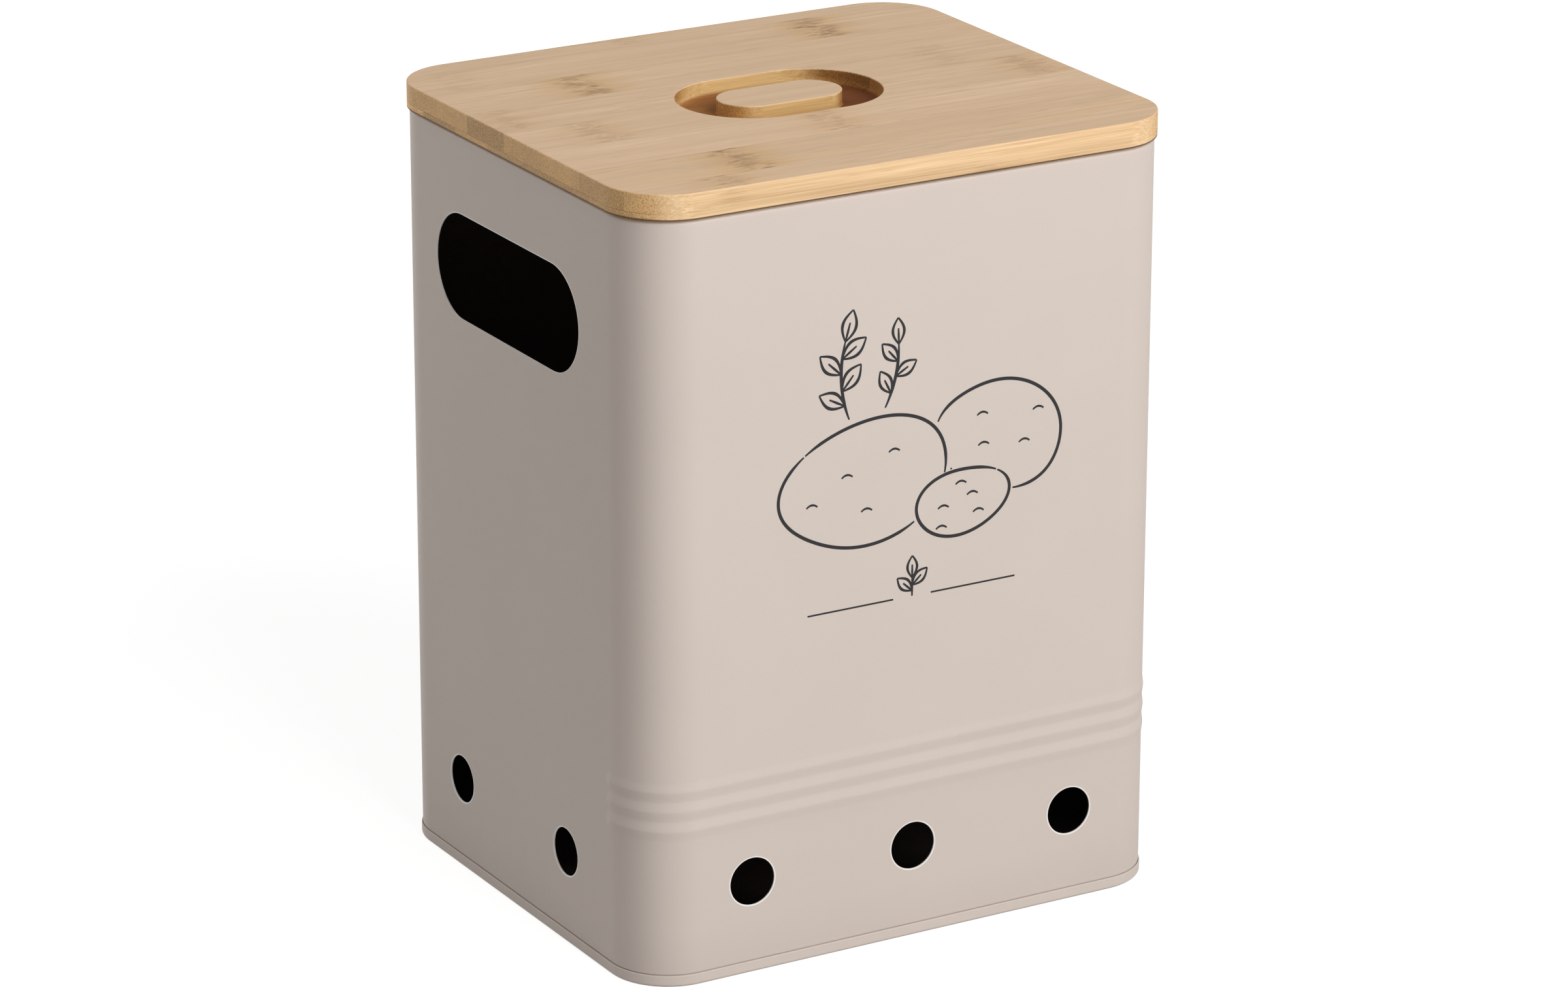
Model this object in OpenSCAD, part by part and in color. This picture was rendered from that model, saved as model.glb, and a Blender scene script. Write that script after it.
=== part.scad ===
// Potato storage bin: a tall sheet-steel bin with rounded corners, two hand
// slots, a row of air vents low on the walls, a seamed bottom and a lift-off
// lid of two glued bamboo plies. Millimetres. The origin is the middle of the
// footprint on the surface that the bin stands on, +Z is up, the front faces
// -Y and the narrow walls with the hand slots face -X and +X.

/* [Steel bin] */
// Width of the steel body, left wall to right wall
bin_w = 224; // [180:1:320]
// Depth of the steel body, front wall to back wall
bin_d = 193; // [170:1:280]
// Height from the standing surface to the top of the rolled rim
bin_h = 289.7; // [250:0.1:420]
// Outside radius of the four upright corners
corner_r = 23.5; // [14:0.5:40]
// Thickness of the steel sheet
sheet_t = 0.5; // [0.3:0.05:1]
// Outside diameter of the roll along the top edge, turned inward
rim_roll_d = 3; // [2:0.1:5]
// How far the roll sits inside the outer face of the wall
rim_roll_inset = 0.05; // [0.02:0.01:0.2]

/* [Seams] */
// Height of the folded seam round the bottom
seam_h = 4.5; // [3:0.1:8]
// How far the bottom seam stands out from the wall
seam_out = 0.75; // [0.4:0.05:1.5]
// How far the bottom seam reaches inward past the wall
seam_in = 0.5; // [0.3:0.05:1.2]
// Radius along the lower edges of the bottom seam
seam_edge_r = 0.4; // [0.2:0.05:0.5]
// Height of the wall's lower edge above the standing surface
wall_foot_z = 1; // [0.7:0.1:1.5]
// Height of the bottom plate's upper face above the standing surface
floor_z = 3.5; // [2.5:0.1:6]
// Width of the upright lock seam inside the back wall
lock_seam_w = 6; // [4:0.5:10]
// How far the lock seam stands into the bin
lock_seam_t = 1; // [0.6:0.1:2]
// Width of the fine line that the lock seam shows on the outside
lock_line_w = 0.3; // [0.1:0.05:0.5]
// Depth of that line
lock_line_depth = 0.2; // [0.1:0.02:0.25]

/* [Hand slots] */
// Length of each hand slot, with its round ends
slot_l = 110; // [80:1:120]
// Height of each hand slot
slot_h = 40.4; // [25:0.2:50]
// Height of the hand slots' middle above the standing surface
slot_z = 240; // [200:0.5:250]
// How far the slots and side vents sit behind the middle of the side wall
side_shift = 3.4; // [0:0.2:6]

/* [Air vents] */
// Diameter of each air vent
vent_d = 18.4; // [8:0.2:24]
// Height of the vents' middle above the standing surface
vent_z = 35.7; // [22:0.1:44]
// Number of vents in the front wall
front_vents = 3; // [1:1:3]
// Distance between neighbouring front vents
front_vent_pitch = 68.2; // [30:0.2:72]
// How far the row of front vents sits right of the middle
front_shift = 1.4; // [-4:0.2:4]
// Number of vents in each side wall
side_vents = 2; // [1:1:3]
// Distance between neighbouring side vents
side_vent_pitch = 82.5; // [30:0.5:90]

/* [Pressed ribs] */
// Number of pressed ribs across the front and round its corners
ribs = 3; // [1:1:4]
// Height of the top rib's crest above the standing surface
rib_z = 75.8; // [70:0.1:90]
// Distance between neighbouring ribs
rib_pitch = 7.6; // [6:0.1:12]
// Width of each rib
rib_w = 4.6; // [3:0.1:6]
// How far each rib stands out from the wall
rib_h = 0.3; // [0.15:0.05:0.6]

/* [Lid] */
// How far the lid stands out past the steel wall all round
lid_over = 1.2; // [0:0.1:4]
// Running gap between the rolled rim and the lid at rest
lid_gap = 0.3; // [0.2:0.05:1]
// Thickness of the upper bamboo ply
upper_t = 7.2; // [6.5:0.1:12]
// Thickness of the lower bamboo ply
lower_t = 2.8; // [2:0.1:6]
// Width of a bamboo strip in the upper ply
upper_strip_w = 28.5; // [20:0.5:45]
// Distance from the lid's middle to the nearest upper joint behind it
upper_joint_y = 2.1; // [0:0.1:18]
// Width of a bamboo strip in the lower ply
lower_strip_w = 25.5; // [20:0.5:45]
// Distance from the lid's middle to the nearest lower joint behind it
lower_joint_y = 14.4; // [0:0.1:18]
// Narrowest strip that may be left along the front or back edge
least_strip = 4; // [2:0.5:10]

/* [Finger grip] */
// Length of the grip's outline, with its round ends
grip_l = 80.2; // [60:0.2:110]
// Width of the grip's outline
grip_w = 55.8; // [40:0.2:80]
// Length of the island that the fingers hold
island_l = 49.8; // [35:0.2:60]
// Width of the island
island_w = 24.4; // [14:0.2:30]
// Depth of the finger groove round the island
groove_depth = 6; // [3:0.1:6.2]

/* [Lid plug and ring] */
// Thickness of the plug board under the lid
plug_t = 8; // [6:0.5:14]
// Gap between the rolled rim and the plug board
plug_gap = 1.6; // [1:0.1:4]
// Height of the ring's seat cut round the plug
ring_seat_h = 3; // [2:0.1:4]
// Depth of the ring's seat cut round the plug
ring_seat_depth = 2; // [1:0.1:3]
// Thickness of the ring's lip
ring_lip_t = 1; // [0.5:0.1:1.5]
// Gap left between the ring's lip and the rolled rim
ring_gap = 0.3; // [0.2:0.05:0.6]

/* [Hidden] */
$fn = 96;
// Overlap that lets a cut run clean through, and fused shapes share volume
eps = 0.5;
steel = [0.82, 0.77, 0.73];
bamboo = [0.86, 0.72, 0.54];
bamboo_lower = [0.80, 0.66, 0.46];
silicone = [0.93, 0.93, 0.90];

lid_w = bin_w + 2 * lid_over;
lid_d = bin_d + 2 * lid_over;
lid_r = corner_r + lid_over;
lid_z = bin_h + lid_gap;
roll_r = rim_roll_d / 2;
mouth_inset = rim_roll_inset + rim_roll_d;
plug_inset = mouth_inset + plug_gap;
ring_reach = plug_gap - ring_gap;
ring_seat_z = lid_z - (plug_t + ring_seat_h) / 2;
// A rib is the cap of a round bar: this bar's radius gives its width and height
rib_bar_r = (rib_w * rib_w / 4 + rib_h * rib_h) / (2 * rib_h);

// Joint lines across a ply, from the front edge to the back edge
function joints(pitch, first) = [
    for (k = [-ceil(lid_d / pitch):ceil(lid_d / pitch)])
        if (abs(first + k * pitch) < lid_d / 2 - least_strip) first + k * pitch
];
function edges(pitch, first) = concat([-lid_d / 2], joints(pitch, first), [lid_d / 2]);
upper_edges = edges(upper_strip_w, upper_joint_y);
lower_edges = edges(lower_strip_w, lower_joint_y);
upper_strips = len(upper_edges) - 1;
lower_strips = len(lower_edges) - 1;

// Rectangle with true arcs at its corners
module rounded_rect(w, d, r) {
    square([w - 2 * r, d], center = true);
    square([w, d - 2 * r], center = true);
    for (sx = [-1, 1], sy = [-1, 1])
        translate([sx * (w / 2 - r), sy * (d / 2 - r)])
            circle(r);
}

// The bin's outline moved inward by a distance
module bin_outline(inset) {
    rounded_rect(bin_w - 2 * inset, bin_d - 2 * inset, corner_r - inset);
}

// Slot outline with round ends
module stadium(l, h) {
    square([l - h, h], center = true);
    for (s = [-1, 1])
        translate([s * (l - h) / 2, 0])
            circle(h / 2);
}

// Carries a profile once round the bin. The profile's x is the distance out
// from the wall's outer face and its y is the height.
module round_the_bin() {
    for (a = [0, 90, 180, 270]) {
        side = a % 180 == 0;
        half = (side ? bin_w : bin_d) / 2;
        run = (side ? bin_d : bin_w) - 2 * corner_r;
        rotate([0, 0, a])
            translate([half, run / 2, 0])
                rotate([90, 0, 0])
                    linear_extrude(run)
                        children();
        rotate([0, 0, a])
            translate([half - corner_r, run / 2, 0])
                rotate_extrude(angle = 90)
                    translate([corner_r, 0])
                        children();
    }
}

// Left half of a pressed rib: from the middle of the front, round the corner,
// to a rounded end where the side wall starts
module half_rib(z, bar_r) {
    sink = rib_bar_r - rib_h;
    run = bin_w / 2 - corner_r;
    translate([-run, corner_r - bin_d / 2, z]) {
        rotate([0, 0, 180])
            rotate_extrude(angle = 90)
                translate([corner_r - sink, 0])
                    circle(bar_r);
        translate([sink - corner_r, 0, 0])
            sphere(bar_r);
        translate([0, sink - corner_r, 0])
            rotate([0, 90, 0])
                cylinder(r = bar_r, h = run);
    }
}

module all_ribs(bar_r) {
    for (i = [0:ribs - 1], side = [0, 1])
        mirror([side, 0, 0])
            half_rib(rib_z - i * rib_pitch, bar_r);
}

// Vents through the front wall
module front_vent_cuts() {
    for (i = [0:front_vents - 1])
        translate([front_shift + (i - (front_vents - 1) / 2) * front_vent_pitch, 0, vent_z])
            rotate([90, 0, 0])
                cylinder(d = vent_d, h = bin_d / 2 + eps);
}

// Vents and a hand slot through both side walls
module side_cuts() {
    for (i = [0:side_vents - 1])
        translate([0, side_shift + (i - (side_vents - 1) / 2) * side_vent_pitch, vent_z])
            rotate([0, 90, 0])
                cylinder(d = vent_d, h = bin_w + 2 * eps, center = true);
    translate([-bin_w / 2 - eps, side_shift, slot_z])
        rotate([90, 0, 90])
            linear_extrude(bin_w + 2 * eps)
                stadium(slot_l, slot_h);
}

// Folded sheet of the wall, open at the bottom, with its rolled rim
module body_shell() {
    color(steel)
        difference() {
            union() {
                difference() {
                    union() {
                        translate([0, 0, wall_foot_z])
                            linear_extrude(bin_h - roll_r - wall_foot_z)
                                bin_outline(0);
                        all_ribs(rib_bar_r);
                    }
                    translate([0, 0, wall_foot_z - eps])
                        linear_extrude(bin_h)
                            bin_outline(sheet_t);
                }
                round_the_bin()
                    translate([-rim_roll_inset - roll_r, bin_h - roll_r])
                        circle(roll_r);
                translate([-lock_seam_w / 2, bin_d / 2 - sheet_t - lock_seam_t, seam_h])
                    cube([lock_seam_w, lock_seam_t + sheet_t / 2, bin_h - rim_roll_d - seam_h]);
            }
            translate([lock_seam_w / 2, bin_d / 2 - lock_line_depth, seam_h])
                cube([lock_line_w, 2 * lock_line_depth, bin_h - rim_roll_d - seam_h]);
            front_vent_cuts();
            side_cuts();
        }
}

// Section of the bottom seam: a folded edge with rounded corners and a slot
// that grips the wall's lower edge
module seam_section() {
    inner = -sheet_t - seam_in;
    lip_r = seam_out / 2;
    difference() {
        union() {
            translate([inner + seam_edge_r, 0])
                square([seam_out - inner - 2 * seam_edge_r, wall_foot_z]);
            translate([inner, seam_edge_r])
                square([seam_out - inner, floor_z - seam_edge_r]);
            for (x = [inner + seam_edge_r, seam_out - seam_edge_r])
                translate([x, seam_edge_r])
                    circle(seam_edge_r);
            translate([0, wall_foot_z])
                square([seam_out, seam_h - lip_r - wall_foot_z]);
            translate([lip_r, seam_h - lip_r])
                circle(lip_r);
        }
        translate([-sheet_t, wall_foot_z])
            square([sheet_t, seam_h]);
    }
}

// Pressed bottom plate, folded round the wall's lower edge
module bottom_panel() {
    color(steel) {
        round_the_bin()
            seam_section();
        translate([0, 0, floor_z - sheet_t])
            linear_extrude(sheet_t)
                bin_outline(sheet_t + seam_in / 2);
    }
}

// Outline of the lid between two joint lines
module lid_band(y0, y1) {
    intersection() {
        rounded_rect(lid_w, lid_d, lid_r);
        translate([-lid_w, y0])
            square([2 * lid_w, y1 - y0]);
    }
}

// One glued strip of the upper ply, with its share of the milled finger groove
module upper_strip(i) {
    color(bamboo)
        difference() {
            translate([0, 0, lid_z + lower_t])
                linear_extrude(upper_t)
                    lid_band(upper_edges[i - 1], upper_edges[i]);
            translate([0, 0, lid_z + lower_t + upper_t - groove_depth])
                linear_extrude(groove_depth + eps)
                    difference() {
                        stadium(grip_l, grip_w);
                        stadium(island_l, island_w);
                    }
        }
}

// One glued strip of the lower ply
module lower_strip(i) {
    color(bamboo_lower)
        translate([0, 0, lid_z])
            linear_extrude(lower_t)
                lid_band(lower_edges[i - 1], lower_edges[i]);
}

// Board glued under the lid that drops into the mouth, with the ring's seat
module lid_plug() {
    color(bamboo_lower)
        difference() {
            translate([0, 0, lid_z - plug_t])
                linear_extrude(plug_t)
                    bin_outline(plug_inset);
            translate([0, 0, ring_seat_z])
                linear_extrude(ring_seat_h)
                    difference() {
                        bin_outline(plug_inset - eps);
                        bin_outline(plug_inset + ring_seat_depth);
                    }
        }
}

// Soft ring in the plug's seat, with a lip that reaches towards the rim
module sealing_ring() {
    color(silicone)
        difference() {
            union() {
                translate([0, 0, ring_seat_z])
                    linear_extrude(ring_seat_h)
                        bin_outline(plug_inset);
                translate([0, 0, ring_seat_z + (ring_seat_h - ring_lip_t) / 2])
                    linear_extrude(ring_lip_t)
                        bin_outline(plug_inset - ring_reach);
            }
            translate([0, 0, ring_seat_z - eps])
                linear_extrude(ring_seat_h + 2 * eps)
                    bin_outline(plug_inset + ring_seat_depth);
        }
}

body_shell();
bottom_panel();
lid_plug();
sealing_ring();
for (i = [1:upper_strips])
    upper_strip(i);
for (i = [1:lower_strips])
    lower_strip(i);
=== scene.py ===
import math

import bmesh
import bpy
from mathutils import Matrix, Vector
from mathutils.geometry import delaunay_2d_cdt


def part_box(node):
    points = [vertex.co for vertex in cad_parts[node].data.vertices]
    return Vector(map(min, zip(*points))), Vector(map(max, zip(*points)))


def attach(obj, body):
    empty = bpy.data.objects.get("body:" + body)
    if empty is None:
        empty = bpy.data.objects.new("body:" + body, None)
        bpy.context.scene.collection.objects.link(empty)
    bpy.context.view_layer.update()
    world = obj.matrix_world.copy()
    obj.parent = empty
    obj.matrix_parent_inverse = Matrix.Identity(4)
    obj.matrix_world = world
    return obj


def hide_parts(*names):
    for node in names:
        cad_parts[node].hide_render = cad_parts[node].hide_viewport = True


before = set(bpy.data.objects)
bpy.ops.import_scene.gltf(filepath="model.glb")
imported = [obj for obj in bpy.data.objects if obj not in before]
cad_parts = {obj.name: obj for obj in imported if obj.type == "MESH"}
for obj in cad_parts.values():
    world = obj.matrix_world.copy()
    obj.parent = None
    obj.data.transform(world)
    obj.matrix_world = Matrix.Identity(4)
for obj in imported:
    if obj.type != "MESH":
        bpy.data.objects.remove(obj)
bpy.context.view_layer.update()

# Lengths are in millimetres unless a name says otherwise. Meshes are scaled to
# metres when they are made. +Z is up and the front of the bin faces -Y.
MM = 0.001


def node_box(node):
    low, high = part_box(node)
    return low / MM, high / MM


# Steel body, from the frame and from the sheet's own small sizes
shell_low, shell_high = node_box("body_shell")
WALL_X = shell_high.x
WALL_Y = shell_high.y
WALL_FOOT = shell_low.z
RIM_TOP = shell_high.z
CORNER_R = 23.5
CORNER_STEPS = 24
SHEET = 0.5
ROLL_R = 1.5
ROLL_STEPS = 20
LOCK_HALF = 3.0
LOCK_T = 1.0
LOCK_RAMP = 0.3
LOCK_LINE_DEPTH = 0.22
LOCK_LINE_AT = LOCK_HALF + LOCK_RAMP / 2

# Pale edge of the openings: its width and its shift to the front and up, then
# the lip's width and depth and the depth of the whole rounding
VENT_RING = (0.5, 0.0, 0.0)
SLOT_RING = (0.26, 0.2, 0.2)
EDGE_LIP = 0.05
EDGE_LIP_DEPTH = 0.03
EDGE_DEPTH = 0.12

# Openings: height of the middle, half sizes, places along their walls
VENT_Z = 35.7
VENT_R = 9.2
FRONT_VENTS = (-66.8, 1.4, 69.6)
SIDE_VENTS = (-37.85, 44.65)
SLOT_Y = 3.4
SLOT_Z = 240.0
SLOT_L = 110.0
SLOT_H = 40.4
WINDOW_MARGIN = 4.0

# Pressed ribs
RIB_TOP_Z = 75.8
RIB_PITCH = 7.6
RIB_COUNT = 3
RIB_HALF_W = 3.8
RIB_H = 0.42
RIB_STEP = 0.475
RIB_SOFTNESS = 0.35
RIB_END_COLUMNS = 9

# Bottom seam
_, seam_high = node_box("bottom_panel")
SEAM_TOP = seam_high.z
SEAM_OUT = seam_high.x - WALL_X
SEAM_GAP = 0.2
SEAM_GAP_DEPTH = 1.5
SEAM_TUCK = 0.22
SEAM_TUCK_H = 0.45
TUCK_STEPS = 6
SEAM_FOLD_IN = 1.0
SEAM_LIP_R = 0.15
SEAM_TOP_R = 0.35
SEAM_FOOT_R = 1.1
SEAM_INNER_R = 0.4
PLATE_BEND_R = 0.3
PLATE_TOP = 3.5
PLATE_SPAN = 12.0

# Lid, from the frame
UPPER = [node_box(f"upper_strip_{i}") for i in range(1, 9)]
LOWER = [node_box(f"lower_strip_{i}") for i in range(1, 10)]
LID_X = max(high.x for _, high in UPPER)
LID_Y = max(high.y for _, high in UPPER)
LID_R = CORNER_R + LID_X - WALL_X
LID_BOTTOM = LOWER[0][0].z
PLY_Z = UPPER[0][0].z
LID_TOP = UPPER[0][1].z
TOP_EASE = 0.5
FOOT_EASE = 0.5
PLY_EASE = 0.08
PLY_RUN = 2.0

# Finger grip milled into the lid
GRIP_L = 80.2
GRIP_W = 55.8
ISLAND_L = 49.8
ISLAND_W = 24.4
GROOVE_FLOOR = LID_TOP - 6.0
GRIP_EASE = 0.35
GRIP_FILLET = 3.0
ISLAND_FILLET = 0.7
GRIP_RUN = 4.0

# Plug board and ring under the lid
plug_low, plug_high = node_box("lid_plug")
ring_low, ring_high = node_box("sealing_ring")
PLUG_X = plug_high.x
PLUG_Y = plug_high.y
PLUG_R = CORNER_R - (WALL_X - PLUG_X)
PLUG_EASE = 1.0
PLUG_RUN = 3.0
SEAT_DEPTH = 2.0
RING_REACH = ring_high.x - PLUG_X
RING_INSET = 0.05
RING_EASE = 0.3
RING_LIP_T = 1.0
RING_LIP_R = 0.45

# Smoothing: steps in a rounded edge and in each round end of a slot, distance of
# the loops that hold a flat face flat, and the angle above which an edge is crisp.
# The RUN values above are how far a section goes on into the flat face beside it.
EASE_STEPS = 6
STADIUM_STEPS = 40
HOLD = 0.3
WALL_HOLD = 1.0
CRISP = math.radians(20)

# How near counts as the same place: on a line, at a cut and in a filling
TOLERANCE = 0.01
CUT_TOLERANCE = 1e-5
FILL_TOLERANCE = 1e-6


# Shapes

def stations(half_x, half_y, radius, marks=None):
    """Places round a rounded rectangle, anticlockwise from the front wall.

    Each is (wall, distance along that wall, point, outward normal), with the
    wall None on a corner. marks gives extra distances for a wall."""
    walls = (("front", half_y, half_x), ("right", half_x, half_y),
             ("back", half_y, half_x), ("left", half_x, half_y))
    places = []
    for turn, (wall, reach, span) in enumerate(walls):
        start = math.radians(90 * turn)
        out = Vector((math.sin(start), -math.cos(start)))
        along = Vector((math.cos(start), math.sin(start)))
        run = span - radius
        stops = {-run, -run + WALL_HOLD, run - WALL_HOLD, run}
        stops.update((marks or {}).get(wall, ()))
        for t in sorted(stops):
            places.append((wall, t, out * reach + along * t, out))
        middle = out * (reach - radius) + along * run
        for k in range(1, CORNER_STEPS):
            angle = start + math.radians(90) * k / CORNER_STEPS
            normal = Vector((math.sin(angle), -math.cos(angle)))
            places.append((None, None, middle + normal * radius, normal))
    return places


def profile(corners):
    """A section as (distance outward, height) points. Each corner is
    (distance, height, rounding), and long sides get a holding point."""
    points = []
    for i, (d, z, radius) in enumerate(corners):
        here = Vector((d, z))
        if radius == 0:
            points.append(here)
            continue
        before = Vector(corners[i - 1][:2]) - here
        after = Vector(corners[i + 1][:2]) - here
        u, v = before.normalized(), after.normalized()
        half = u.angle(v) / 2
        reach = radius / math.tan(half)
        centre = here + (u + v).normalized() * (radius / math.sin(half))
        first = here + u * reach - centre
        turn = math.pi - 2 * half
        side = 1 if first.x * (v.y - u.y) - first.y * (v.x - u.x) > 0 else -1
        if before.length > reach + 3 * HOLD:
            points.append(here + u * (reach + HOLD))
        for k in range(EASE_STEPS + 1):
            angle = side * turn * k / EASE_STEPS
            c, s = math.cos(angle), math.sin(angle)
            points.append(centre + Vector((c * first.x - s * first.y, s * first.x + c * first.y)))
        if after.length > reach + 3 * HOLD:
            points.append(here + v * (reach + HOLD))
    return points


def edge_profile(before, z0, ease0, z1, ease1, after):
    """A rounded edge from one level face to another."""
    return profile([(before, z0, 0), (0, z0, ease0), (0, z1, ease1), (after, z1, 0)])


def sweep(section, places, closed=False):
    """Carries a section round an outline: vertices, and quads by section step."""
    verts = [(*(point + normal * d), z) for d, z in section for _, _, point, normal in places]
    return verts, tube_faces(len(section), len(places), closed)


def tube_faces(rows, columns, closed):
    faces = []
    for i in range(rows if closed else rows - 1):
        low, high = i * columns, (i + 1) % rows * columns
        for k in range(columns):
            n = (k + 1) % columns
            faces.append((low + k, low + n, high + n, high + k))
    return faces


def end_caps(total, count):
    """Flat faces over the first and the last loop of a sweep of total points."""
    return [tuple(range(count)), tuple(range(total - count, total))]


def stadium(length, width, grow):
    """Slot outline with round ends, anticlockwise, grown by a distance."""
    run = (length - width) / 2
    radius = width / 2 + grow
    points = []
    for side in (1, -1):
        for k in range(STADIUM_STEPS + 1):
            angle = math.pi * (k / STADIUM_STEPS - 0.5)
            points.append(Vector((side * (run + radius * math.cos(angle)),
                                  side * radius * math.sin(angle))))
    return points


def in_stadium(point, length, width, grow):
    run = (length - width) / 2
    return math.hypot(max(abs(point.x) - run, 0), point.y) < width / 2 + grow


def fill_around(outer, hole, in_hole):
    """Triangles between a convex outline and a hole in it, as indices into
    outer + hole. in_hole tells whether a point lies inside the hole's outline."""
    edges = []
    for first, count in ((0, len(outer)), (len(outer), len(hole))):
        edges += [(first + k, first + (k + 1) % count) for k in range(count)]
    points = [Vector(p) for p in (*outer, *hole)]
    coords, _, triangles, sources = delaunay_2d_cdt(points, edges, [], 0, FILL_TOLERANCE)[:4]
    kept = []
    for triangle in triangles:
        middle = sum((coords[i] for i in triangle), Vector((0, 0))) / 3
        if not in_hole(middle):
            kept.append(tuple(sources[i][0] for i in triangle))
    return kept


# Pieces

def place_object(name, data):
    made = bpy.data.objects.new(name, data)
    bpy.context.scene.collection.objects.link(made)
    return made


def finish_mesh(bm):
    """Points faces outward, shades smooth and keeps the crisp edges crisp."""
    bmesh.ops.recalc_face_normals(bm, faces=bm.faces)
    bm.normal_update()
    for face in bm.faces:
        face.smooth = True
    for edge in bm.edges:
        if len(edge.link_faces) == 2:
            one_finish = edge.link_faces[0].material_index == edge.link_faces[1].material_index
            edge.smooth = one_finish and edge.calc_face_angle(0) < CRISP


def make_piece(name, bm, materials, body, node=None, facts=None):
    """A piece from a bmesh in millimetres. facts are values that hold all over
    it, kept as mesh attributes for its material to read."""
    bm.transform(Matrix.Scale(MM, 4))
    finish_mesh(bm)
    mesh = bpy.data.meshes.new(name)
    bm.to_mesh(mesh)
    bm.free()
    for material in materials:
        mesh.materials.append(material)
    for fact, value in (facts or {}).items():
        attribute = mesh.attributes.new(fact, "FLOAT_VECTOR", "POINT")
        attribute.data.foreach_set("vector", list(value) * len(mesh.vertices))
    piece = place_object(name, mesh)
    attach(piece, body)
    if node:
        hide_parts(node)


def to_bmesh(verts, faces, painted=None):
    """A bmesh from lists. painted gives each face its material number."""
    bm = bmesh.new()
    made = [bm.verts.new(v) for v in verts]
    for i, face in enumerate(faces):
        new = bm.faces.new([made[k] for k in face])
        new.material_index = painted[i] if painted else 0
    return bm


# Numbers of the steel's materials: paint, the dark painted shade of the inside faces, and the pale edge
PAINT, INSIDE_SHADE, EDGE = 0, 1, 2


def wall_openings():
    """Each opening as (wall, along, height, length, height of the hole)."""
    found = [("front", x, VENT_Z, 2 * VENT_R, 2 * VENT_R) for x in FRONT_VENTS]
    for wall, sign in (("right", 1), ("left", -1)):
        found += [(wall, sign * y, VENT_Z, 2 * VENT_R, 2 * VENT_R) for y in SIDE_VENTS]
        found.append((wall, sign * SLOT_Y, SLOT_Z, SLOT_L, SLOT_H))
    return found


def window_of(opening):
    """The rectangle round an opening, in the wall's own plane."""
    _, along, z, length, height = opening
    half_l, half_h = length / 2 + WINDOW_MARGIN, height / 2 + WINDOW_MARGIN
    return along - half_l, along + half_l, z - half_h, z + half_h


def rib_rise(place, z):
    """How far the pressed ribs lift the sheet at a place and height."""
    wall, t = place[:2]
    if wall == "back" or (wall is None and place[2].y > 0):
        return 0.0
    past = 0.0
    if wall in ("left", "right"):
        past = WALL_Y - CORNER_R + (t if wall == "right" else -t)
    rise = 0.0
    for i in range(RIB_COUNT):
        away = math.hypot(past, z - (RIB_TOP_Z - i * RIB_PITCH))
        if away < RIB_HALF_W:
            flank = 1 - away / RIB_HALF_W
            soft = (1 - math.cos(math.pi * flank)) / 2
            rise += RIB_H * (RIB_SOFTNESS * soft + (1 - RIB_SOFTNESS) * flank)
    return rise


def foot_tuck(z):
    """How far the wall is drawn in just above the bottom seam and behind it."""
    down = min(max((SEAM_TOP + SEAM_TUCK_H - z) / SEAM_TUCK_H, 0.0), 1.0)
    return SEAM_TUCK * down * down * (3 - 2 * down)


def lock_line(place):
    """Depth of the fine line that the upright seam shows outside."""
    wall, t = place[:2]
    if wall != "back":
        return 0.0
    return LOCK_LINE_DEPTH * max(0.0, 1 - abs(t + LOCK_LINE_AT) / LOCK_RAMP)


def lock_band(place, z):
    """How far the upright seam stands into the bin."""
    wall, t = place[:2]
    if wall != "back":
        return 0.0
    ends = min(z - SEAM_TOP, RIM_TOP - 2 * ROLL_R - z) / LOCK_RAMP
    sides = (LOCK_HALF + LOCK_RAMP - abs(t)) / LOCK_RAMP
    return LOCK_T * min(max(min(ends, sides), 0.0), 1.0)


def sheet_rows(openings):
    """Heights of the sheet's rows, without the roll along its top."""
    rib_low = RIB_TOP_Z - (RIB_COUNT - 1) * RIB_PITCH - RIB_HALF_W
    rib_rows = int((RIB_TOP_Z + RIB_HALF_W - rib_low) / RIB_STEP) + 1
    heights = {WALL_FOOT, SEAM_TOP + LOCK_RAMP}
    heights.update(SEAM_TOP + SEAM_TUCK_H * k / TUCK_STEPS for k in range(TUCK_STEPS + 1))
    heights.update(rib_low + k * RIB_STEP for k in range(rib_rows + 1))
    heights.update(round(z, 3) for opening in openings for z in window_of(opening)[2:])
    heights.update((RIM_TOP - 2 * ROLL_R - LOCK_RAMP, RIM_TOP - 2 * ROLL_R))
    return sorted(heights) + [RIM_TOP - ROLL_R]


def sheet_marks(openings):
    """Extra places along the walls: window sides, rib ends and the seam."""
    marks = {"front": set(), "right": set(), "back": set(), "left": set()}
    for opening in openings:
        marks[opening[0]].update(round(t, 3) for t in window_of(opening)[:2])
    flat = WALL_Y - CORNER_R
    for k in range(1, RIB_END_COLUMNS + 1):
        marks["right"].add(-flat + k * RIB_STEP)
        marks["left"].add(flat - k * RIB_STEP)
    marks["back"].update((-LOCK_HALF - LOCK_RAMP, -LOCK_HALF, LOCK_HALF, LOCK_HALF + LOCK_RAMP))
    marks["back"].update(-LOCK_LINE_AT + side * LOCK_RAMP for side in (-1, 0, 1))
    return marks


def ring_of(opening):
    """The pale line round a hole: its width, and its shift to the front and up."""
    wall, _, _, length, height = opening
    width, forward, up = VENT_RING if length == height else SLOT_RING
    return width, Vector((forward if wall == "left" else -forward, up))


def hole_loop(opening, grow, shift):
    _, along, z, length, height = opening
    return [Vector((along, z)) + shift + p for p in stadium(length, height, grow)]


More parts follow.
